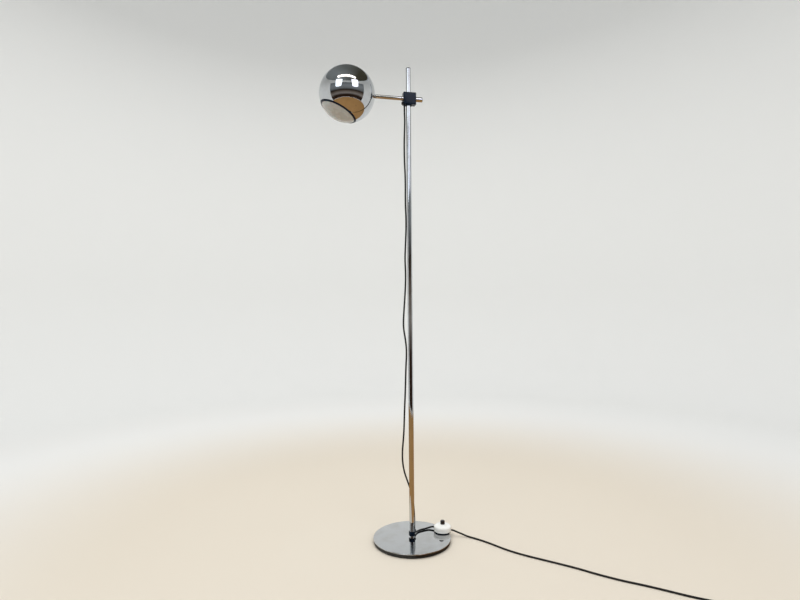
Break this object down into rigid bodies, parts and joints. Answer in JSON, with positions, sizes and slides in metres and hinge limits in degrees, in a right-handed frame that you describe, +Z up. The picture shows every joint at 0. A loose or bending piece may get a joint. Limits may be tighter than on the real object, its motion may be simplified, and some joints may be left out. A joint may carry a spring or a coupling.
{
  "type": "floor lamp",
  "caption": "Floor lamp with a ball shade on a short arm, clamped to a slim pole that it slides and turns on, over a round weighted base, with a foot switch on its lead.",
  "frame": {"origin": "middle of the base's underside, on the floor, under the pole's axis", "axes": "+Z up along the pole; the arm and the shade point along -X and the clamping knob along +X; the foot switch lies on the base towards +X"},
  "size_m": [1.0232, 0.8534, 1.53],
  "materials": {
    "chrome": "bright polished plating",
    "steel": "zinc-plated, unpolished",
    "cast_weight": "black paint",
    "felt": "thin pressed felt",
    "black_plastic": "moulded, semi-gloss",
    "screw_plastic": "moulded, semi-gloss",
    "white_plastic": "moulded, semi-gloss",
    "holder_plastic": "moulded phenolic",
    "opal_plastic": "opal, softly glossy",
    "bulb_glass": "frosted inside",
    "brass": "turned",
    "cord_jacket": "smooth black flex",
    "plug_plastic": "moulded on the lead"
  },
  "bodies": {
    "root": {"base_felt": "felt", "base_weight": "cast_weight", "base_cover": "chrome", "pole_tube": "chrome", "pole_foot_plug": "steel", "pole_cap": "black_plastic", "pole_washer": "steel", "pole_bolt": "steel", "cord_clip": "black_plastic", "switch_base": "black_plastic", "switch_cover": "white_plastic", "switch_screws": "steel", "switch_mechanism": "holder_plastic", "switch_terminals": "brass", "switch_spring": "steel", "cord_riser": "cord_jacket", "cord_floor": "cord_jacket", "cord_coil": "cord_jacket", "coil_tie": "black_plastic", "plug_body": "plug_plastic", "plug_pins": "brass"},
    "slider": {"pole_sleeve": "black_plastic"},
    "clamp": {"clamp_block": "black_plastic", "pressure_pad": "brass", "knob_insert": "brass", "arm_tube": "chrome", "arm_ferrule": "chrome", "arm_grub_screw": "steel", "lead_grip_screw": "screw_plastic", "arm_lead": "cord_jacket", "swivel_stem": "steel", "swivel_stem_nut": "steel", "cord_upper": "cord_jacket"},
    "knob": {"lock_knob": "chrome", "lock_stud": "steel"},
    "swivel": {"swivel_ball": "steel"},
    "shade": {"shade_shell": "chrome", "rim_ring": "black_plastic", "diffuser": "opal_plastic", "swivel_cup": "steel", "swivel_ring": "steel", "swivel_nut": "steel", "holder_strap": "steel", "holder_nipple": "steel", "holder_nut": "steel", "lampholder": "holder_plastic", "bulb_cap": "steel", "bulb_glass": "bulb_glass", "shade_lead": "cord_jacket"},
    "button": {"switch_button": "black_plastic"}
  },
  "joints": [
    {"name": "clamp_height", "type": "slide", "parent": "root", "child": "slider", "axis": [0, 0, 1], "range_m": [-0.6, 0.07], "deforming": ["cord_riser"]},
    {"name": "clamp_swivel", "type": "hinge", "parent": "slider", "child": "clamp", "pos_m": [0, 0, 1.4285], "axis": [0, 0, 1], "range_deg": [-170, 170], "deforming": ["cord_upper"]},
    {"name": "knob_turn", "type": "hinge", "parent": "clamp", "child": "knob", "pos_m": [0.0355, 0, 1.4285], "axis": [1, 0, 0], "range_deg": [0, 360]},
    {"name": "shade_roll", "type": "hinge", "parent": "clamp", "child": "swivel", "pos_m": [-0.1175, 0, 1.4285], "axis": [1, 0, 0], "range_deg": [-170, 170]},
    {"name": "shade_tilt", "type": "hinge", "parent": "swivel", "child": "shade", "pos_m": [-0.1175, 0, 1.4285], "axis": [0, 1, 0], "range_deg": [-20, 20], "deforming": ["shade_lead"]},
    {"name": "switch_press", "type": "slide", "parent": "root", "child": "button", "axis": [0, 0, -1], "range_m": [0, 0.004], "stiffness_N_per_m": 800, "springref_m": -0.002, "deforming": ["switch_spring"]}
  ]
}
